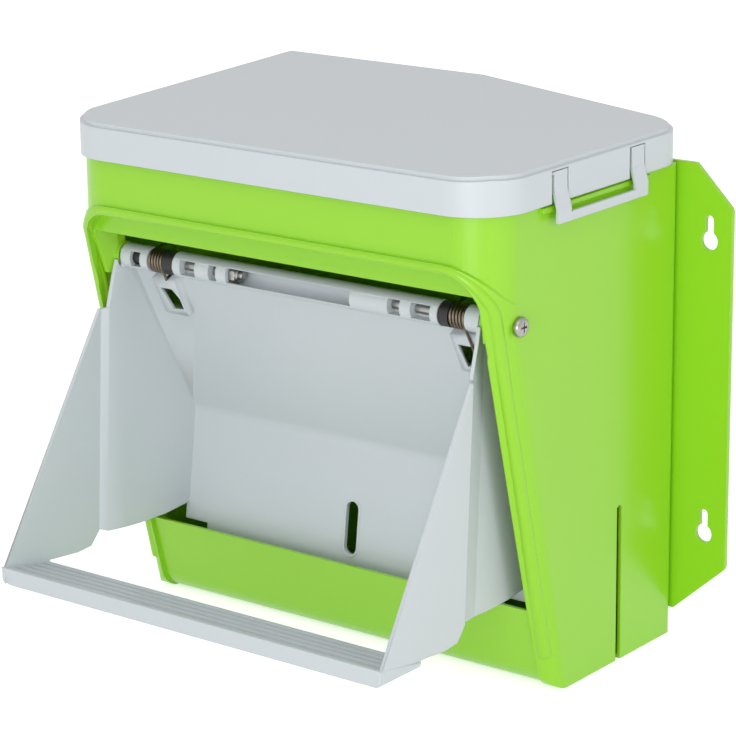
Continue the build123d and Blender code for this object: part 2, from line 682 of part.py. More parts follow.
def wing_outline():
    """Outline of both wings in side view, from the barrel round the toe and up the door."""
    toe = [
        (TOE_FRONT_Y, TOE_Z), (TOE_FRONT_Y - 0.5, BAR_LOW_Z), (BAR_REAR_Y, BAR_LOW_Z),
        (BAR_REAR_Y + 1, BAR_REAR_Z + 0.5),
    ]
    door = [(DOOR_LOW_Y - 1, WING_LOW_Z + 1), (DOOR_LOW_Y + 2, WING_LOW_Z + 1), (FOLD_Y + 1, FOLD_Z)]
    hinge = [(HINGE_Y + BARREL_R * 0.6, HINGE_Z), (HINGE_Y, HINGE_Z + BARREL_R - 0.5)]
    return list(WING_FRONT) + toe + list(WING_BASE) + door + hinge


def make_wings():
    """Both side wings: rear section, shallow step and front section down to the perch bar."""
    sheet = wing_envelope(0) - wing_envelope(WING_THICK)
    wings = sheet & side_prism(wing_outline(), -BAR_HALF - 1, BAR_HALF + 1)
    for low, high in ((-FAR, -BARREL_HALF), (BARREL_HALF, FAR)):
        wings -= x_rod(BOSS_R + 1.2, low, high)
    return wings


def bar_outline():
    """Perch bar in section, before it is hollowed: top slopes down to the rear."""
    front = TOE_FRONT_Y - 0.5
    return [(front + 2, BAR_LOW_Z), (front, BAR_TOP_Z), (BAR_REAR_Y, BAR_REAR_Z), (BAR_REAR_Y, BAR_LOW_Z)]


def make_bar():
    """Perch bar: a channel open underneath, with grooves along its top."""
    outer_x = BAR_HALF
    bar = side_prism(bar_outline(), -outer_x, outer_x)
    front = TOE_FRONT_Y - 0.5
    fall = (BAR_TOP_Z - BAR_REAR_Z) / (BAR_REAR_Y - front)
    hollow = [
        (front + 2 + BAR_WALL, BAR_LOW_Z - 1), (front + BAR_WALL, BAR_TOP_Z - BAR_WALL * 1.3),
        (BAR_REAR_Y - BAR_WALL, BAR_TOP_Z - BAR_WALL * 1.3 - fall * (BAR_REAR_Y - front - BAR_WALL)),
        (BAR_REAR_Y - BAR_WALL, BAR_LOW_Z - 1),
    ]
    bar -= side_prism(hollow, -outer_x + 8, outer_x - 8)
    pitch = (BAR_REAR_Y - front) / (BAR_GROOVES + 1)
    for i in range(BAR_GROOVES):
        y = front + pitch * (i + 1)
        z = BAR_TOP_Z - fall * (y - front)
        bar -= block((-outer_x + WING_THICK + 3, outer_x - WING_THICK - 3),
                     (y - BAR_GROOVE_W / 2, y + BAR_GROOVE_W / 2), (z - BAR_GROOVE_DEPTH, z + 2))
    return bar


def bar_end_cut():
    """What rounds the lower corners off at the ends of the perch bar."""
    edge = BAR_HALF - BAR_END_R
    cuts = []
    for side in (-1, 1):
        x_range = sorted((side * edge, side * (BAR_HALF + 5)))
        corner = block(x_range, (TOE_FRONT_Y - 5, BAR_REAR_Y + 5), (BAR_LOW_Z - 2, BAR_LOW_Z + BAR_END_R))
        round_part = Rot(90, 0, 0) * Cylinder(BAR_END_R, 200)
        cuts.append(corner - Pos(side * edge, TOE_FRONT_Y, BAR_LOW_Z + BAR_END_R) * round_part)
    return cuts[0] + cuts[1]


def make_flap():
    """One moulding: barrel, door, wings and perch bar."""
    flap = make_barrel() + make_door()
    flap -= x_rod(BARREL_R - CHANNEL_WALL, NUT_CHANNEL[0], NUT_POCKET_END)
    flap -= x_rod(BOLT_D / 2 + RUN_CLEAR, -BARREL_HALF, BARREL_HALF)
    brackets = [leg_bracket(side) for side in (-1, 1)]
    for outer, _ in brackets:
        flap += outer
    for _, inner in brackets:
        flap -= inner
    for low, high in (LEFT_SPRING_POCKET, RIGHT_SPRING_POCKET):
        flap -= x_rod(BARREL_R + WIRE_D, low, high)
    flap -= drain_slot(0)
    flap += slot_rim()
    flap += make_wings() + make_bar()
    flap -= bar_end_cut()
    for side in (-1, 1):
        flap -= leg_window(side)
        inner_x = LEFT_SPRING_POCKET[0] if side < 0 else RIGHT_SPRING_POCKET[1]
        flap -= x_rod(END_BUSH_R, *sorted((inner_x, side * (BARREL_HALF + 1))))
    return flap


def roof_planes(rise):
    """Front, right and left pitches of the lid's top, meeting at a crest on the wall side."""
    depth = LID_REAR_Y - LID_FRONT_Y
    half = LID_W / 2
    pitch = LID_RISE / depth
    right = LID_RISE / (half - LID_CREST_RIGHT_X)
    left = LID_RISE / (half + LID_CREST_LEFT_X)
    z = LID_EDGE_Z + rise
    return [
        Plane(origin=(0, LID_FRONT_Y, z), z_dir=(0, -pitch, 1)),
        Plane(origin=(half, 0, z), z_dir=(right, 0, 1)),
        Plane(origin=(-half, 0, z), z_dir=(-left, 0, 1)),
    ]


def roofed(inset, low, rise):
    """Rounded block under the lid's pitched top."""
    face = plan_face(LID_W / 2 - inset, LID_FRONT_Y + inset, LID_REAR_Y - inset,
                     LID_R - inset, LID_REAR_R - inset, low)
    solid = extrude(face, amount=LID_EDGE_Z + LID_RISE * 2 - low)
    for plane in roof_planes(rise):
        solid = split(solid, bisect_by=plane, keep=Keep.BOTTOM)
    return solid


def make_lid():
    """Lid: skirt, raised top panel and a pocket in each side for the clip's arms."""
    shell = roofed(0, LID_SKIRT_LOW, 0) + roofed(LID_PANEL_INSET, LID_EDGE_Z - 1, LID_PANEL_H)
    shell -= roofed(LID_WALL, LID_SKIRT_LOW - 1, -LID_WALL)
    for side in (-1, 1):
        low, high = sorted((side * (LID_W / 2 - LID_WALL - 0.01), side * (LID_W / 2 + 1)))
        for y_low, y_high in clip_arm_ranges():
            shell -= block((low, high), (y_low - CLIP_FRONT_SLIT, y_high + CLIP_SLIT),
                           (LID_SKIRT_LOW - 1, CLIP_TOP + CLIP_GAP))
        shell -= clip_pegs(side, CLIP_PEG_R + RUN_CLEAR, SEAT_GAP)
    return shell


def clip_pegs(side, radius, extra):
    """Pegs on the outer edges of a clip's arms, or their holes when enlarged."""
    x = side * (LID_W / 2 - CLIP_THICK / 2)
    z = CLIP_TOP - CLIP_PIVOT_DROP
    length = CLIP_PEG_L + extra
    front = Pos(x, CLIP_FRONT_Y - length / 2, z) * Rot(90, 0, 0) * Cylinder(radius, length)
    rear = Pos(x, CLIP_REAR_Y + length / 2, z) * Rot(90, 0, 0) * Cylinder(radius, length)
    return front + rear


def clip_arm_ranges():
    """Y ranges of a clip's two arms."""
    return ((CLIP_FRONT_Y, CLIP_FRONT_Y + CLIP_ARM_W), (CLIP_REAR_Y - CLIP_ARM_W, CLIP_REAR_Y))


def make_clip(side):
    """Bail clip: two arms that kick out at the foot, joined by a bar."""
    out = LID_W / 2
    waist = LID_SKIRT_LOW + 7
    foot = CLIP_LOW + CLIP_BAR_H
    points = [
        (out - CLIP_THICK, CLIP_TOP), (out, CLIP_TOP), (out + 0.2, waist), (out + CLIP_KICK, foot + 3),
        (out + CLIP_KICK, CLIP_LOW), (out + CLIP_KICK - CLIP_THICK, CLIP_LOW),
        (out + CLIP_KICK - CLIP_THICK, foot + 3), (out - CLIP_THICK, waist),
    ]
    clip = front_prism([(side * x, z) for x, z in points], CLIP_FRONT_Y, CLIP_REAR_Y)
    arms = clip_arm_ranges()
    gap = sorted((side * (out - CLIP_THICK * 2), side * (out + CLIP_KICK * 2)))
    clip -= block(gap, (arms[0][1], arms[1][0]), (foot, CLIP_TOP + 1))
    return clip + clip_pegs(side, CLIP_PEG_R, 0)


def build():
    """All the pieces by name."""
    pieces = {
        "hopper_housing": make_housing(),
        "feed_baffle": make_baffle(),
        "lid": make_lid(),
        "flap": make_flap(),
    }
    for side, word in ((-1, "left"), (1, "right")):
        pieces["lid_clip_" + word] = make_clip(side)
        pieces["hinge_bolt_" + word] = make_bolt(side)
        pieces["lock_nut_" + word] = make_nut(side)
        pieces["torsion_spring_" + word] = make_spring(side)
        pieces["spring_bush_" + word] = make_spring_bush(side)
        pieces["end_bush_" + word] = make_end_bush(side)
    return pieces


def main():
    """Write each piece to its own file."""
    os.makedirs("parts", exist_ok=True)
    for name, piece in build().items():
        export_step(Pos(0, 0, -ORIGIN_Z) * piece, "parts/" + name + ".step")
    print("least gap between spring turns, mm:", round(least_coil_gap(), 3))


if __name__ == "__main__":
    main()
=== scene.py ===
"""Look of the wall-mounted poultry feeder: finishes, moulded details, stage, lights and camera.

Metres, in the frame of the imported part: +X to the viewer's right, +Y towards the wall, +Z up, with the
origin on the wall plane in the middle of the four keyholes.
"""

import json
import logging
import math
from dataclasses import dataclass
from enum import Enum

import bmesh
import bpy
from mathutils import Matrix, Vector
from mathutils.bvhtree import BVHTree

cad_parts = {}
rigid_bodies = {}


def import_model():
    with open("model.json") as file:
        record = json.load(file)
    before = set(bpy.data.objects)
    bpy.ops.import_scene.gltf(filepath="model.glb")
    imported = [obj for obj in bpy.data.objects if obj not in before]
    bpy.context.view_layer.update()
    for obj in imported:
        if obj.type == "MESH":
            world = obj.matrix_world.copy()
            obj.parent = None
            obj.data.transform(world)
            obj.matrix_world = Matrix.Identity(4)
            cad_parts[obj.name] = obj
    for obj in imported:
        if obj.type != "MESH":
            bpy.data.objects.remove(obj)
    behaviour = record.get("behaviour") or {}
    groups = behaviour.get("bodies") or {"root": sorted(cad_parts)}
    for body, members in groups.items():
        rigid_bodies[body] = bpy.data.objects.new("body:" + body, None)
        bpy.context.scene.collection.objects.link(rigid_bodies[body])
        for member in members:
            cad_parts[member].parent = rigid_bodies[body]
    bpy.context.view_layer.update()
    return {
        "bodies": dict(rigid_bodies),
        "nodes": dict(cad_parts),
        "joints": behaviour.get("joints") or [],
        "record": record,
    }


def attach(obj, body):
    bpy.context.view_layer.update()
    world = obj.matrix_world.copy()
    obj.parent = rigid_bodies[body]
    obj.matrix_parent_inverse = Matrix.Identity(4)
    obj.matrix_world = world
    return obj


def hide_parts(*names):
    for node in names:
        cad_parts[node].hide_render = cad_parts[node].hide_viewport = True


LOG = logging.getLogger("poultry_feeder")
MM = 0.001
ORIGIN_Z = 163.0
MERGE_MM = 0.0005
SIDES = (-1, 1)
WHITE = (1.0, 1.0, 1.0, 1.0)

Pair = tuple[float, float]
Triple = tuple[float, float, float]


class Body(Enum):
    """Rigid bodies that the new pieces ride on."""

    HOUSING = "housing"
    FLAP = "flap_unit"


class Slot(Enum):
    """Material slots of the record."""

    GREEN = "green_plastic"
    GREY = "grey_plastic"
    ZINC = "zinc_steel"
    SPRING = "spring_steel"
    BLACK = "black_plastic"


def at(x: float, y: float, z: float) -> Vector:
    """Point from millimetres above the housing's underside.

    Args:
        x: Millimetres to the viewer's right of the middle.
        y: Millimetres towards the wall from the wall plane.
        z: Millimetres above the housing's underside.

    Returns:
        The point in metres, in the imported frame.
    """
    return Vector((x * MM, y * MM, (z - ORIGIN_Z) * MM))


class SharedGroups:
    """Node groups that several finishes share."""

    EDGE_RADIUS = 0.9 * MM
    EDGE_SAMPLES = 6
    GRAIN_HEIGHT = 0.02 * MM
    GRAIN_DETAIL = 2.0
    # Mask that pales every edge: partly rubbed wear, partly painted highlight along the edges.
    EDGE_WEAR_AND_HIGHLIGHT_RADIUS = 0.7 * MM
    EDGE_WEAR_AND_HIGHLIGHT_SAMPLES = 4
    EDGE_WEAR_AND_HIGHLIGHT_STARTS = 0.995
    EDGE_WEAR_AND_HIGHLIGHT_FULL = 0.80
    DUST_SCALE = 28.0
    DUST_DETAIL = 5.0

    def __init__(self) -> None:
        """Build each group once."""
        self.grain = self._grain_group()
        self.edge_wear_and_highlight = self._edge_wear_and_highlight_group()
        self.dust = self._dust_group()

    @staticmethod
    def _new_group(name: str, inputs: list[tuple[str, str, object]], output: tuple[str, str]) -> tuple:
        """Make an empty group with its sockets.

        Args:
            name: Name of the group.
            inputs: Name, socket type and default of each input.
            output: Name and socket type of the one output.

        Returns:
            The tree, its input node and its output node.
        """
        tree = bpy.data.node_groups.new(name, "ShaderNodeTree")
        for label, kind, default in inputs:
            socket = tree.interface.new_socket(name=label, in_out="INPUT", socket_type=kind)
            socket.default_value = default
        tree.interface.new_socket(name=output[0], in_out="OUTPUT", socket_type=output[1])
        return tree, tree.nodes.new("NodeGroupInput"), tree.nodes.new("NodeGroupOutput")

    def _grain_group(self) -> bpy.types.NodeTree:
        """Fine spark-eroded mould texture over softened edges, put out as a normal."""
        inputs = [("Depth", "NodeSocketFloat", 0.1), ("Scale", "NodeSocketFloat", 900.0)]
        tree, given, out = self._new_group("moulded_grain", inputs, ("Normal", "NodeSocketVector"))
        nodes, links = tree.nodes, tree.links
        coords = nodes.new("ShaderNodeTexCoord")
        noise = nodes.new("ShaderNodeTexNoise")
        noise.inputs["Detail"].default_value = self.GRAIN_DETAIL
        soft = nodes.new("ShaderNodeBevel")
        soft.samples = self.EDGE_SAMPLES
        soft.inputs["Radius"].default_value = self.EDGE_RADIUS
        bump = nodes.new("ShaderNodeBump")
        bump.inputs["Distance"].default_value = self.GRAIN_HEIGHT
        links.new(coords.outputs["Object"], noise.inputs["Vector"])
        links.new(given.outputs["Scale"], noise.inputs["Scale"])
        links.new(given.outputs["Depth"], bump.inputs["Strength"])
        links.new(noise.outputs["Fac"], bump.inputs["Height"])
        links.new(soft.outputs["Normal"], bump.inputs["Normal"])
        links.new(bump.outputs["Normal"], out.inputs["Normal"])
        return tree

    def _edge_wear_and_highlight_group(self) -> bpy.types.NodeTree:
        """Pale edges, partly rubbed wear and partly painted highlight: a mask where the rounded normal
        leaves the flat one.
        """
        inputs = [("Reach", "NodeSocketFloat", 0.4)]
        tree, given, out = self._new_group("edge_wear_and_painted_highlight", inputs, ("Mask", "NodeSocketFloat"))
        nodes, links = tree.nodes, tree.links
        soft = nodes.new("ShaderNodeBevel")
        soft.samples = self.EDGE_WEAR_AND_HIGHLIGHT_SAMPLES
        soft.inputs["Radius"].default_value = self.EDGE_WEAR_AND_HIGHLIGHT_RADIUS
        flat = nodes.new("ShaderNodeNewGeometry")
        dot = nodes.new("ShaderNodeVectorMath")
        dot.operation = "DOT_PRODUCT"
        ramp = nodes.new("ShaderNodeMapRange")
        ramp.inputs["From Min"].default_value = self.EDGE_WEAR_AND_HIGHLIGHT_STARTS
        ramp.inputs["From Max"].default_value = self.EDGE_WEAR_AND_HIGHLIGHT_FULL
        links.new(soft.outputs["Normal"], dot.inputs[0])
        links.new(flat.outputs["Normal"], dot.inputs[1])
        links.new(dot.outputs["Value"], ramp.inputs["Value"])
        links.new(given.outputs["Reach"], ramp.inputs["To Max"])
        links.new(ramp.outputs["Result"], out.inputs["Mask"])
        return tree

    def _dust_group(self) -> bpy.types.NodeTree:
        """Thin dust that lies on surfaces facing up, put out as a mask."""
        inputs = [("Amount", "NodeSocketFloat", 0.05)]
        tree, given, out = self._new_group("lying_dust", inputs, ("Mask", "NodeSocketFloat"))
        nodes, links = tree.nodes, tree.links
        coords = nodes.new("ShaderNodeTexCoord")
        noise = nodes.new("ShaderNodeTexNoise")
        noise.inputs["Scale"].default_value = self.DUST_SCALE
        noise.inputs["Detail"].default_value = self.DUST_DETAIL
        geometry = nodes.new("ShaderNodeNewGeometry")
        split = nodes.new("ShaderNodeSeparateXYZ")
        up = nodes.new("ShaderNodeMath")
        up.operation = "MULTIPLY"
        up.use_clamp = True
        scaled = nodes.new("ShaderNodeMath")
        scaled.operation = "MULTIPLY"
        links.new(coords.outputs["Object"], noise.inputs["Vector"])
        links.new(geometry.outputs["Normal"], split.inputs["Vector"])
        links.new(split.outputs["Z"], up.inputs[0])
        links.new(noise.outputs["Fac"], up.inputs[1])
        links.new(up.outputs["Value"], scaled.inputs[0])
        links.new(given.outputs["Amount"], scaled.inputs[1])
        links.new(scaled.outputs["Value"], out.inputs["Mask"])
        return tree


@dataclass(frozen=True)
class PlasticFinish:
    """Injection-moulded plastic."""

    name: str
    colour: Triple
    # Pale edge colour and its strength: partly rubbed wear, partly painted edge highlight.
    edge_wear_and_highlight_colour: Triple
    roughness: float
    grain_depth: float
    edge_wear_and_highlight: float
    dust: float
    coat: float = 0.0
    grain_scale: float = 900.0
    dust_colour: Triple = (0.62, 0.60, 0.55)
    refraction: float = 1.49
    coat_roughness: float = 0.12

    def build(self, groups: SharedGroups) -> bpy.types.Material:
        """Make the material.

        Args:
            groups: Node groups that the finishes share.

        Returns:
            The new material.
        """
        material, nodes, links, shader = _blank_material(self.name)
        edge_wear_and_highlight = _group_node(nodes, groups.edge_wear_and_highlight, Reach=self.edge_wear_and_highlight)
        dust = _group_node(nodes, groups.dust, Amount=self.dust)
        grain = _group_node(nodes, groups.grain, Depth=self.grain_depth, Scale=self.grain_scale)
        # Edges paled towards the edge colour: partly wear, partly painted highlight.
        edge_worn_and_highlit = _mix_colour(nodes, links, self.colour, self.edge_wear_and_highlight_colour, edge_wear_and_highlight.outputs["Mask"])
        dusty = _mix_colour(nodes, links, edge_worn_and_highlit, self.dust_colour, dust.outputs["Mask"])
        links.new(dusty, shader.inputs["Base Color"])
        links.new(grain.outputs["Normal"], shader.inputs["Normal"])
        shader.inputs["Roughness"].default_value = self.roughness
        shader.inputs["IOR"].default_value = self.refraction
        shader.inputs["Coat Weight"].default_value = self.coat
        shader.inputs["Coat Roughness"].default_value = self.coat_roughness
        return material


@dataclass(frozen=True)
class MetalFinish:
    """Plated or oiled steel."""

    name: str
    colour: Triple
    stain: Triple
    roughness: float
    stain_scale: float
    stain_detail: float = 4.0
    grain_depth: float = 0.25
    grain_scale: float = 1500.0

    def build(self, groups: SharedGroups) -> bpy.types.Material:
        """Make the material.

        Args:
            groups: Node groups that the finishes share.

        Returns:
            The new material.
        """
        material, nodes, links, shader = _blank_material(self.name)
        coords = nodes.new("ShaderNodeTexCoord")
        noise = nodes.new("ShaderNodeTexNoise")
        noise.inputs["Scale"].default_value = self.stain_scale
        noise.inputs["Detail"].default_value = self.stain_detail
        links.new(coords.outputs["Object"], noise.inputs["Vector"])
        grain = _group_node(nodes, groups.grain, Depth=self.grain_depth, Scale=self.grain_scale)
        tint = _mix_colour(nodes, links, self.colour, self.stain, noise.outputs["Fac"])
        links.new(tint, shader.inputs["Base Color"])
        links.new(grain.outputs["Normal"], shader.inputs["Normal"])
        shader.inputs["Metallic"].default_value = 1.0
        shader.inputs["Roughness"].default_value = self.roughness
        return material


def _blank_material(name: str) -> tuple:
    """Material with only its output and its main shader.

    Args:
        name: Name of the material.

    Returns:
        The material, its nodes, its links and the shader node.
    """
    material = bpy.data.materials.new(name)
    material.use_nodes = True
    nodes, links = material.node_tree.nodes, material.node_tree.links
    nodes.clear()
    output = nodes.new("ShaderNodeOutputMaterial")
    shader = nodes.new("ShaderNodeBsdfPrincipled")
    links.new(shader.outputs["BSDF"], output.inputs["Surface"])
    return material, nodes, links, shader


def _group_node(nodes: bpy.types.Nodes, tree: bpy.types.NodeTree, **values: float) -> bpy.types.Node:
    """Place a shared group and set its inputs.

    Args:
        nodes: Nodes of the material.
        tree: The group.
        **values: Input values by socket name.

    Returns:
        The group node.
    """
    node = nodes.new("ShaderNodeGroup")
    node.node_tree = tree
    for label, value in values.items():
        node.inputs[label].default_value = value
    return node


def _mix_colour(nodes: bpy.types.Nodes, links: bpy.types.NodeLinks, first: Triple | bpy.types.NodeSocket,
                second: Triple, mask: bpy.types.NodeSocket) -> bpy.types.NodeSocket:
    """Blend towards a second colour by a mask.

    Args:
        nodes: Nodes of the material.
        links: Links of the material.
        first: A colour, or the socket that gives one.
        second: Colour where the mask is 1.
        mask: Socket of the mask.

    Returns:
        The socket of the blended colour.
    """
    mix = nodes.new("ShaderNodeMix")
    mix.data_type = "RGBA"
    if isinstance(first, tuple):
        mix.inputs["A"].default_value = (*first, 1.0)
    else:
        links.new(first, mix.inputs["A"])
    mix.inputs["B"].default_value = (*second, 1.0)
    links.new(mask, mix.inputs["Factor"])
    return mix.outputs["Result"]


# The pale edge colours below stand partly for rubbed wear and partly for painted edge highlight.
GREEN_MOULDING = PlasticFinish(
    name="lime_green_moulding", colour=(0.300, 0.665, 0.017), edge_wear_and_highlight_colour=(0.38, 0.75, 0.06),
    roughness=0.30, grain_depth=0.10, edge_wear_and_highlight=0.5, dust=0.0, coat=0.15)
GREY_MOULDING = PlasticFinish(
    name="pale_grey_moulding", colour=(0.615, 0.660, 0.690), edge_wear_and_highlight_colour=(0.82, 0.86, 0.88),
    roughness=0.38, grain_depth=0.16, edge_wear_and_highlight=0.45, dust=0.02)
BLACK_MOULDING = PlasticFinish(
    name="black_moulding", colour=(0.012, 0.012, 0.013), edge_wear_and_highlight_colour=(0.05, 0.05, 0.05),
    roughness=0.45, grain_depth=0.2, edge_wear_and_highlight=0.4, dust=0.02)
ZINC_PLATE = MetalFinish(
    name="bright_zinc_plate", colour=(0.52, 0.52, 0.50), stain=(0.26, 0.25, 0.23),
    roughness=0.30, stain_scale=260.0)
SPRING_WIRE = MetalFinish(
    name="oil_tempered_spring_wire", colour=(0.25, 0.20, 0.15), stain=(0.11, 0.09, 0.07),
    roughness=0.38, stain_scale=400.0)


class Finishes:
    """The feeder's materials by slot."""

    def __init__(self) -> None:
        """Build every finish."""
        groups = SharedGroups()
        self.by_slot = {
            Slot.GREEN: GREEN_MOULDING.build(groups),
            Slot.GREY: GREY_MOULDING.build(groups),
            Slot.BLACK: BLACK_MOULDING.build(groups),
            Slot.ZINC: ZINC_PLATE.build(groups),
            Slot.SPRING: SPRING_WIRE.build(groups),
        }

    def dress(self, piece: bpy.types.Object, slot: Slot) -> None:
        """Give a piece its finish.

        Args:
            piece: The mesh object.
            slot: Its material slot.
        """
        piece.data.materials.clear()
        piece.data.materials.append(self.by_slot[slot])


class Along(Enum):
    """Axis that a prism runs along, by the place it takes among X, Y and Z."""

    X = 0
    Y = 1
    Z = 2


def prism(mesh: bmesh.types.BMesh, outline: list[Pair], low: float, high: float, along: Along) -> None:
    """Add a closed prism to a mesh.

    Args:
        mesh: The mesh that it goes into.
        outline: Its corners in millimetres, in the two other axes in alphabetical order.
        low: Where it starts along the axis.
        high: Where it ends along the axis.
        along: The axis.
    """
    rings = []
    for depth in (low, high):
        corners = [(*corner[:along.value], depth, *corner[along.value:]) for corner in outline]
        rings.append([mesh.verts.new(at(*corner)) for corner in corners])
    faces = [mesh.faces.new(rings[0]), mesh.faces.new(list(reversed(rings[1])))]
    count = len(outline)
    for i in range(count):
        j = (i + 1) % count
        faces.append(mesh.faces.new((rings[0][j], rings[0][i], rings[1][i], rings[1][j])))
    bmesh.ops.recalc_face_normals(mesh, faces=faces)


def box(mesh: bmesh.types.BMesh, x: Pair, y: Pair, z: Pair) -> None:
    """Add a closed box to a mesh.

    Args:
        mesh: The mesh that it goes into.
        x: Lowest and highest X in millimetres.
        y: Lowest and highest Y in millimetres.
        z: Lowest and highest Z in millimetres.
    """
    corners = [(x[0], y[0]), (x[1], y[0]), (x[1], y[1]), (x[0], y[1])]
    prism(mesh, corners, *z, Along.Z)


def on_side(span: Pair, side: int) -> Pair:
    """Turn a span of X on the right into the same span on one side.

    Args:
        span: Lowest and highest X on the right.
        side: 1 for the right, -1 for the left.

    Returns:
        Lowest and highest X on that side.
    """
    return span if side > 0 else (-span[1], -span[0])


def merged_copy(node: bpy.types.Object) -> bmesh.types.BMesh:
    """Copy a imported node's mesh and join its loose triangles.

    Args:
        node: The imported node.

    Returns:
        The joined copy.
    """
    mesh = bmesh.new()
    mesh.from_mesh(node.data)
    bmesh.ops.remove_doubles(mesh, verts=mesh.verts, dist=MERGE_MM * MM)
    return mesh


def combined(first: bmesh.types.BMesh, second: bmesh.types.BMesh, operation: str) -> bmesh.types.BMesh:
    """Join or cut two closed meshes.

    Args:
        first: The mesh that stays; it is freed.
        second: The mesh that is joined or cut away; it is freed.
        operation: DIFFERENCE, UNION or INTERSECT.

    Returns:
        The new mesh.
    """
    holders = []
    for label, mesh in (("shaped", first), ("tool", second)):
        data = bpy.data.meshes.new(label)
        mesh.to_mesh(data)
        mesh.free()
        holders.append(linked(label, data))
    shaped, tool = holders
    cut = shaped.modifiers.new("cut", "BOOLEAN")
    cut.object = tool
    cut.operation = operation
    cut.solver = "EXACT"
    bpy.context.view_layer.update()
    graph = bpy.context.evaluated_depsgraph_get()
    result = bmesh.new()
    data = bpy.data.meshes.new_from_object(shaped.evaluated_get(graph))
    result.from_mesh(data)
    bpy.data.meshes.remove(data)
    for holder in holders:
        mesh = holder.data
        bpy.data.objects.remove(holder)
        bpy.data.meshes.remove(mesh)
    return result


def linked(name: str, data: bpy.types.ID) -> bpy.types.Object:
    """Make an object and put it into the scene.

    Args:
        name: Name of the object.
        data: Its mesh, lamp or camera.

    Returns:
        The new object.
    """
    holder = bpy.data.objects.new(name, data)
    bpy.context.scene.collection.objects.link(holder)
    return holder


class Workshop:
    """Puts new meshes into the scene."""

    def __init__(self, finishes: Finishes) -> None:
        """Keep the finishes at hand.

        Args:
            finishes: The feeder's materials.
        """
        self.finishes = finishes

    def place(self, name: str, mesh: bmesh.types.BMesh, slot: Slot, body: Body,
              smooth_deg: float = 35.0) -> bpy.types.Object:
        """Turn a bmesh into an object that rides on a body.

        Args:
            name: Plain name of the piece.
            mesh: The finished bmesh, in metres.
            slot: Material slot.
            body: Body that it moves with.
            smooth_deg: Edges flatter than this are shaded smooth; 0 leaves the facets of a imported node.

        Returns:
            The new object.
        """
        data = bpy.data.meshes.new(name)
        mesh.to_mesh(data)
        mesh.free()
        piece = linked(name, data)
        if smooth_deg > 0:
            data.shade_smooth()
            data.set_sharp_from_angle(angle=math.radians(smooth_deg))
            even = piece.modifiers.new("even_normals", "WEIGHTED_NORMAL")
            even.keep_sharp = True
        else:
            data.shade_flat()
        self.finishes.dress(piece, slot)
        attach(piece, body.value)
        LOG.info("%s: %d faces", name, len(piece.data.polygons))
        return piece


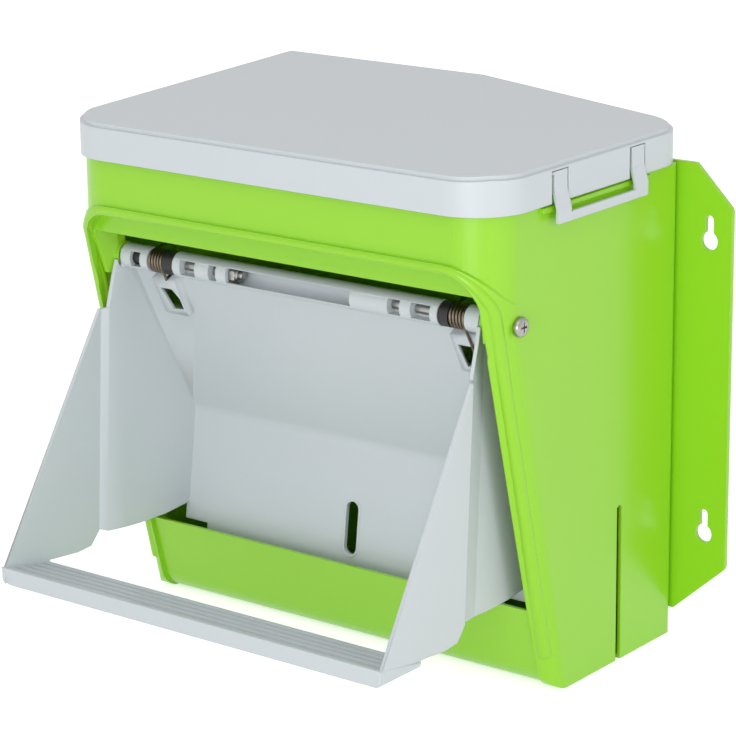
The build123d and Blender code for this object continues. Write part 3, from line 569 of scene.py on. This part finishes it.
@dataclass
class HousingLook:
    """The green housing, with its hood panel trimmed, and the baffle inside it."""

    plain: tuple[str, ...] = ("feed_baffle",)
    panel_low: float = 256.0
    panel_cut_low: float = 194.0
    panel_inner_x: float = 116.0
    panel_y: Pair = (-194.4, -189.6)
    opening_half: float = 149.95
    opening_spring_z: float = 249.5
    opening_x_at_panel: float = 148.85
    stub_x: Pair = (149.9, 151.7)
    stub_side: tuple[Pair, ...] = (
        (-194.6, 231.5), (-193.25, 231.5), (-190.6, 222.2), (-190.6, 196.0), (-194.6, 196.0))
    cheek_plan: tuple[Pair, ...] = (
        (149.95, -200.0), (147.2, -193.0), (141.4, -181.0), (140.2, -172.0),
        (142.7, -171.5), (144.0, -180.0), (149.8, -192.5), (152.45, -199.0))
    cheek_z: Pair = (198.0, 266.0)
    cheek_room: float = 4.0
    cheek_side: tuple[Pair, ...] = (
        (-195.0, 262.0), (-195.0, 256.0), (-187.3, 228.0), (-174.5, 228.0), (-174.5, 262.0))
    wall_x: Pair = (157.0, 162.5)
    slit_y: Pair = (-69.6, -64.4)
    slit_z: Pair = (-1.0, 100.0)
    bead_x: float = 156.0
    bead_top: float = 273.3
    bead_low: float = 24.0
    bead_turn_r: float = 28.0
    bead_r: Pair = (2.6, 4.6)
    bead_sunk: float = 0.55
    bead_sides: int = 20
    leg_steps: int = 40
    bend_steps: int = 16
    top_steps: int = 12
    ray_start_y: float = -400.0

    def build(self, frame: dict, shop: Workshop) -> None:
        """Make the housing's moulding and give the baffle its finish.

        Args:
            shop: Where pieces are made.
        """
        mesh = merged_copy(frame["nodes"]["hopper_housing"])
        mesh = combined(mesh, self._cuts(), "DIFFERENCE")
        mesh = combined(mesh, self._stubs(), "DIFFERENCE")
        mesh = combined(mesh, self._cheeks(), "UNION")
        shop.place("rim_bead", self._bead(mesh), Slot.GREEN, Body.HOUSING)
        piece = shop.place("housing_moulding", mesh, Slot.GREEN, Body.HOUSING, smooth_deg=0.0)
        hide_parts("hopper_housing")
        dress_nodes(frame, shop.finishes, self.plain, Slot.GREEN)

    def _cuts(self) -> bmesh.types.BMesh:
        """Ends of the hood panel below its straight edge, and the full width of the side slits."""
        cuts = bmesh.new()
        outline = [
            (self.panel_inner_x, self.panel_cut_low),
            (self.opening_half, self.panel_cut_low),
            (self.opening_half, self.opening_spring_z),
            (self.opening_x_at_panel, self.panel_low),
            (self.panel_inner_x, self.panel_low),
        ]
        for side in SIDES:
            prism(cuts, [(side * x, z) for x, z in outline], *self.panel_y, Along.Y)
            box(cuts, on_side(self.wall_x, side), self.slit_y, self.slit_z)
        return cuts

    def _stubs(self) -> bmesh.types.BMesh:
        """What is left of the hood panel in front of the rim's sides."""
        stubs = bmesh.new()
        for side in SIDES:
            prism(stubs, list(self.stub_side), *on_side(self.stub_x, side), Along.X)
        return stubs

    def _cheeks(self) -> bmesh.types.BMesh:
        """Walls beside the barrel, behind the opening's sides."""
        cheeks = bmesh.new()
        for side in SIDES:
            prism(cheeks, [(side * x, y) for x, y in self.cheek_plan], *self.cheek_z, Along.Z)
        room = bmesh.new()
        reach = self.opening_half + self.cheek_room
        prism(room, list(self.cheek_side), -reach, reach, Along.X)
        return combined(cheeks, room, "INTERSECT")

    def _bead_line(self, tree: BVHTree) -> list[tuple[Vector, Vector, float]]:
        """Follow the raised rim up one leg, over the top and down the other.

        Args:
            tree: The housing's surface.

        Returns:
            Point on the surface, its normal and the bead's radius, one after the other.
        """
        turn_z, turn_x = self.bead_top - self.bead_turn_r, self.bead_x - self.bead_turn_r
        rise = turn_z - self.bead_low
        leg = [(self.bead_x, self.bead_low + rise * i / self.leg_steps) for i in range(self.leg_steps)]
        bend = []
        for i in range(self.bend_steps + 1):
            angle = math.pi / 2 * i / self.bend_steps
            bend.append((turn_x + self.bead_turn_r * math.cos(angle),
                         turn_z + self.bead_turn_r * math.sin(angle)))
        top = [(turn_x * (1 - i / self.top_steps), self.bead_top) for i in range(1, self.top_steps)]
        half = leg + bend + top
        whole = half + [(0.0, self.bead_top)] + [(-x, z) for x, z in reversed(half)]
        line = []
        for x, z in whole:
            hit, normal, _, _ = tree.ray_cast(at(x, self.ray_start_y, z), Vector((0.0, 1.0, 0.0)))
            if hit is None:
                continue
            share = min(1.0, max(0.0, (self.bead_top - z) / self.bead_turn_r))
            thin, thick = self.bead_r
            line.append((hit, normal, thin + (thick - thin) * share))
        return line

    def _bead(self, housing: bmesh.types.BMesh) -> bmesh.types.BMesh:
        """Rounded bead that softens the rim round the opening.

        Args:
            housing: The housing's mesh.

        Returns:
            The bead, half sunk in the rim.
        """
        line = self._bead_line(BVHTree.FromBMesh(housing))
        bead = bmesh.new()
        rings = []
        for i, (point, normal, radius) in enumerate(line):
            before, after = line[max(i - 1, 0)][0], line[min(i + 1, len(line) - 1)][0]
            ahead = (after - before).normalized()
            out = (normal - ahead * normal.dot(ahead)).normalized()
            across = ahead.cross(out)
            centre = point - out * (radius * self.bead_sunk * MM)
            ring = []
            for k in range(self.bead_sides):
                angle = 2 * math.pi * k / self.bead_sides
                spot = out * math.cos(angle) + across * math.sin(angle)
                ring.append(bead.verts.new(centre + spot * (radius * MM)))
            rings.append(ring)
        for first, second in zip(rings, rings[1:]):
            for k in range(self.bead_sides):
                n = (k + 1) % self.bead_sides
                bead.faces.new((first[k], first[n], second[n], second[k]))
        bead.faces.new(list(reversed(rings[0])))
        bead.faces.new(rings[-1])
        bmesh.ops.recalc_face_normals(bead, faces=bead.faces)
        return bead


@dataclass
class LidLook:
    """The grey lid and its clips."""

    nodes: tuple[str, ...] = ("lid", "lid_clip_left", "lid_clip_right")

    def dress(self, frame: dict, finishes: Finishes) -> None:
        """Give the lid's nodes their finish.

        Args:
            finishes: The feeder's materials.
        """
        dress_nodes(frame, finishes, self.nodes, Slot.GREY)


@dataclass(frozen=True)
class StepMove:
    """How far the wing's step moves at one depth."""

    plan_y: float
    ahead: float
    inwards: float


@dataclass
class FlapLook:
    """The treadle flap with its springs and bushes."""

    plain_springs: tuple[str, ...] = ("torsion_spring_right",)
    cut_spring: str = "torsion_spring_left"
    bushes: tuple[str, ...] = ("spring_bush_left", "spring_bush_right", "end_bush_left", "end_bush_right")
    step_smooth_deg: float = 24.0
    hinge: Pair = (-175.0, 238.0)
    door_down: Pair = (0.4434, -0.8964)
    wire_r: float = 0.9
    leg_x: float = -105.12
    leg_out: Pair = (6.8, -2.0)
    leg_end: float = 8.9
    cut_end: float = 45.0
    cut_out: Pair = (-6.0, 12.0)
    cut_half_x: float = 4.0
    wing_inner_x: float = 133.5
    wing_lean: float = 0.064
    wing_low_z: float = 61.0
    fade_z: Pair = (204.0, 224.0)
    step_moves: tuple[StepMove, ...] = (
        StepMove(-206.5, 0.0, 0.0), StepMove(-201.0, -1.8, 1.0), StepMove(-188.0, 0.0, 0.0))

    def build(self, frame: dict, shop: Workshop) -> None:
        """Make the flap's moulding and give its other nodes their finishes.

        Args:
            shop: Where pieces are made.
        """
        mesh = merged_copy(frame["nodes"]["flap"])
        self._sharpen_step(mesh)
        piece = shop.place("flap_moulding", mesh, Slot.GREY, Body.FLAP, self.step_smooth_deg)
        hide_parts("flap")
        wire = combined(merged_copy(frame["nodes"][self.cut_spring]), self._leg_cut(), "DIFFERENCE")
        self._turned_in_leg(wire)
        spring = shop.place("left_spring_wire", wire, Slot.SPRING, Body.FLAP)
        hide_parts(self.cut_spring)
        dress_nodes(frame, shop.finishes, self.plain_springs, Slot.SPRING)
        dress_nodes(frame, shop.finishes, self.bushes, Slot.BLACK)

    def _on_door(self, down: float, out: float) -> tuple[float, float]:
        """Find a point on the door's profile.

        Args:
            down: Millimetres down the door from the hinge line.
            out: Millimetres out from its face.

        Returns:
            Y and Z of the point.
        """
        run, fall = self.door_down
        return self.hinge[0] + run * down + fall * out, self.hinge[1] + fall * down - run * out

    def _leg_cut(self) -> bmesh.types.BMesh:
        """What takes the left spring's long leg off below the point where it turns in."""
        cut = bmesh.new()
        low, high = self.cut_out
        corners = [(self.leg_end, low), (self.leg_end, high), (self.cut_end, high), (self.cut_end, low)]
        outline = [self._on_door(down, out) for down, out in corners]
        prism(cut, outline, self.leg_x - self.cut_half_x, self.leg_x + self.cut_half_x, Along.X)
        return cut

    def _turned_in_leg(self, wire: bmesh.types.BMesh) -> None:
        """Turn the left spring's leg in behind the door's upper edge.

        Args:
            wire: The spring's wire, without the rest of its leg.
        """
        ends = [at(self.leg_x, *self._on_door(self.leg_end, out)) for out in self.leg_out]
        along = ends[1] - ends[0]
        turn = along.to_track_quat("Z", "Y").to_matrix().to_4x4()
        place = Matrix.Translation((ends[0] + ends[1]) / 2) @ turn
        bmesh.ops.create_cone(wire, cap_ends=True, segments=16, radius1=self.wire_r * MM,
                              radius2=self.wire_r * MM, depth=along.length, matrix=place)
        bmesh.ops.create_icosphere(wire, subdivisions=2, radius=self.wire_r * MM,
                                   matrix=Matrix.Translation(ends[0]))

    def _sharpen_step(self, mesh: bmesh.types.BMesh) -> None:
        """Draw the step in the wings together, so that it is as steep as on the real flap.

        Args:
            mesh: Copy of the flap.
        """
        fade_low, fade_high = self.fade_z
        for vert in mesh.verts:
            x, y, z = vert.co.x / MM, vert.co.y / MM, vert.co.z / MM + ORIGIN_Z
            if abs(x) < self.wing_inner_x:
                continue
            share = min(1.0, max(0.0, (fade_high - z) / (fade_high - fade_low)))
            plan_y = y - self.wing_lean * (z - self.wing_low_z)
            for front, rear in zip(self.step_moves, self.step_moves[1:]):
                if front.plan_y <= plan_y <= rear.plan_y:
                    t = (plan_y - front.plan_y) / (rear.plan_y - front.plan_y)
                    ahead = front.ahead + (rear.ahead - front.ahead) * t
                    inwards = front.inwards + (rear.inwards - front.inwards) * t
                    vert.co.y += share * ahead * MM
                    vert.co.x -= share * math.copysign(inwards, x) * MM
                    break


@dataclass
class HingeHardware:
    """Hinge bolts and lock nuts."""

    nodes: tuple[str, ...] = ("hinge_bolt_left", "hinge_bolt_right", "lock_nut_left", "lock_nut_right")

    def dress(self, frame: dict, finishes: Finishes) -> None:
        """Give the bolts and nuts their finish.

        Args:
            finishes: The feeder's materials.
        """
        dress_nodes(frame, finishes, self.nodes, Slot.ZINC)


def dress_nodes(frame: dict, finishes: Finishes, names: tuple[str, ...], slot: Slot) -> None:
    """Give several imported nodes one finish.

    Args:
        finishes: The feeder's materials.
        names: The nodes.
        slot: Their material slot.
    """
    for name in names:
        node = frame["nodes"][name]
        finishes.dress(node, slot)
        LOG.info("%s dressed as %s", name, slot.value)


@dataclass(frozen=True)
class Lamp:
    """Round soft lamp."""

    name: str
    place: Triple
    aim: Triple
    width_m: float
    watts: float
    in_gloss: bool = True


LAMPS = (
    Lamp("key_softbox", (700.0, -1300.0, 1700.0), (0.0, -120.0, 180.0), 1.3, 4.32),
    Lamp("front_softbox", (800.0, -2000.0, 260.0), (0.0, -160.0, 140.0), 1.1, 14.4),
    Lamp("left_softbox", (-1500.0, -900.0, 700.0), (0.0, -120.0, 180.0), 1.2, 1.8),
    Lamp("right_softbox", (1700.0, -300.0, 500.0), (0.0, -120.0, 160.0), 1.2, 4.95, in_gloss=False),
)


@dataclass
class Studio:
    """Stage, lights and camera."""

    lamps: tuple[Lamp, ...] = LAMPS
    fill_strength: float = 0.60
    shown_strength: float = 1.0
    floor_half_m: float = 4.0
    floor_drop: float = 0.5
    floor_tone: Triple = (0.92, 0.92, 0.92)
    floor_roughness: float = 0.9
    floor_glow: float = 0.62
    camera_place: Triple = (1097.9, -1523.8, 686.3)
    right: Triple = (0.7921, 0.6103, -0.0114)
    down: Triple = (0.1601, -0.2257, -0.9610)
    forward: Triple = (-0.5890, 0.7594, -0.2765)
    focal_px: float = 2980.0
    frame_px: float = 736.0
    sensor_mm: float = 36.0
    clip_m: Pair = (0.05, 20.0)

    def build(self) -> None:
        """Make the stage, the lights and the camera."""
        self._world()
        self._floor()
        self._lights()
        self._camera()
        bpy.context.scene.view_settings.view_transform = "Standard"

    def _world(self) -> None:
        """Even white surroundings that show as white and light the object plainly."""
        world = bpy.data.worlds.new("white_studio")
        bpy.context.scene.world = world
        world.use_nodes = True
        nodes, links = world.node_tree.nodes, world.node_tree.links
        nodes.clear()
        output = nodes.new("ShaderNodeOutputWorld")
        light = nodes.new("ShaderNodeBackground")
        light.inputs["Color"].default_value = WHITE
        light.inputs["Strength"].default_value = self.fill_strength
        shown = nodes.new("ShaderNodeBackground")
        shown.inputs["Color"].default_value = WHITE
        shown.inputs["Strength"].default_value = self.shown_strength
        mix = nodes.new("ShaderNodeMixShader")
        links.new(_seen_directly(nodes, links), mix.inputs["Fac"])
        links.new(light.outputs["Background"], mix.inputs[1])
        links.new(shown.outputs["Background"], mix.inputs[2])
        links.new(mix.outputs["Shader"], output.inputs["Surface"])

    def _floor(self) -> None:
        """Pale floor under the feeder; the camera sees it white but for the soft shadow."""
        mesh = bmesh.new()
        bmesh.ops.create_grid(mesh, x_segments=1, y_segments=1, size=self.floor_half_m)
        bmesh.ops.translate(mesh, vec=at(0.0, 0.0, -self.floor_drop), verts=mesh.verts)
        data = bpy.data.meshes.new("pale_floor")
        mesh.to_mesh(data)
        mesh.free()
        floor = linked("pale_floor", data)
        material, nodes, links, shader = _blank_material("pale_floor_paint")
        shader.inputs["Base Color"].default_value = (*self.floor_tone, 1.0)
        shader.inputs["Roughness"].default_value = self.floor_roughness
        shader.inputs["Emission Color"].default_value = WHITE
        glow = nodes.new("ShaderNodeMath")
        glow.operation = "MULTIPLY"
        glow.inputs[1].default_value = self.floor_glow
        links.new(_seen_directly(nodes, links), glow.inputs[0])
        links.new(glow.outputs["Value"], shader.inputs["Emission Strength"])
        data.materials.append(material)

    def _lights(self) -> None:
        """Large soft lamps round the feeder."""
        for lamp in self.lamps:
            light = bpy.data.lights.new(lamp.name, "AREA")
            light.shape = "DISK"
            light.size = lamp.width_m
            light.energy = lamp.watts
            holder = linked(lamp.name, light)
            holder.location = at(*lamp.place)
            holder.rotation_mode = "QUATERNION"
            holder.rotation_quaternion = (at(*lamp.aim) - at(*lamp.place)).to_track_quat("-Z", "Y")
            holder.visible_glossy = lamp.in_gloss

    def _camera(self) -> None:
        """Camera at the photograph's place, turn and focal length."""
        data = bpy.data.cameras.new("photo_camera")
        data.sensor_width = self.sensor_mm
        data.lens = self.focal_px / self.frame_px * self.sensor_mm
        data.clip_start, data.clip_end = self.clip_m
        camera = linked("photo_camera", data)
        turn = Matrix((self.right, [-v for v in self.down], [-v for v in self.forward])).transposed()
        camera.matrix_world = Matrix.Translation(at(*self.camera_place)) @ turn.to_4x4()
        bpy.context.scene.camera = camera


def _seen_directly(nodes: bpy.types.Nodes, links: bpy.types.NodeLinks) -> bpy.types.NodeSocket:
    """Mask that is 1 for the camera's own rays and for what metal and gloss show.

    Args:
        nodes: Nodes of the material or world.
        links: Its links.

    Returns:
        The socket of the mask.
    """
    path = nodes.new("ShaderNodeLightPath")
    total = path.outputs["Is Camera Ray"]
    for ray in ("Is Glossy Ray", "Is Transmission Ray"):
        add = nodes.new("ShaderNodeMath")
        add.operation = "ADD"
        add.use_clamp = True
        links.new(total, add.inputs[0])
        links.new(path.outputs[ray], add.inputs[1])
        total = add.outputs["Value"]
    return total


def main() -> None:
    """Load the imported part, dress it and set the studio up."""
    logging.basicConfig(level=logging.INFO, format="%(name)s: %(message)s")
    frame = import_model()
    finishes = Finishes()
    shop = Workshop(finishes)
    HousingLook().build(frame, shop)
    FlapLook().build(frame, shop)
    for look in (LidLook(), HingeHardware()):
        look.dress(frame, finishes)
    Studio().build()


if __name__ == "__main__":
    main()
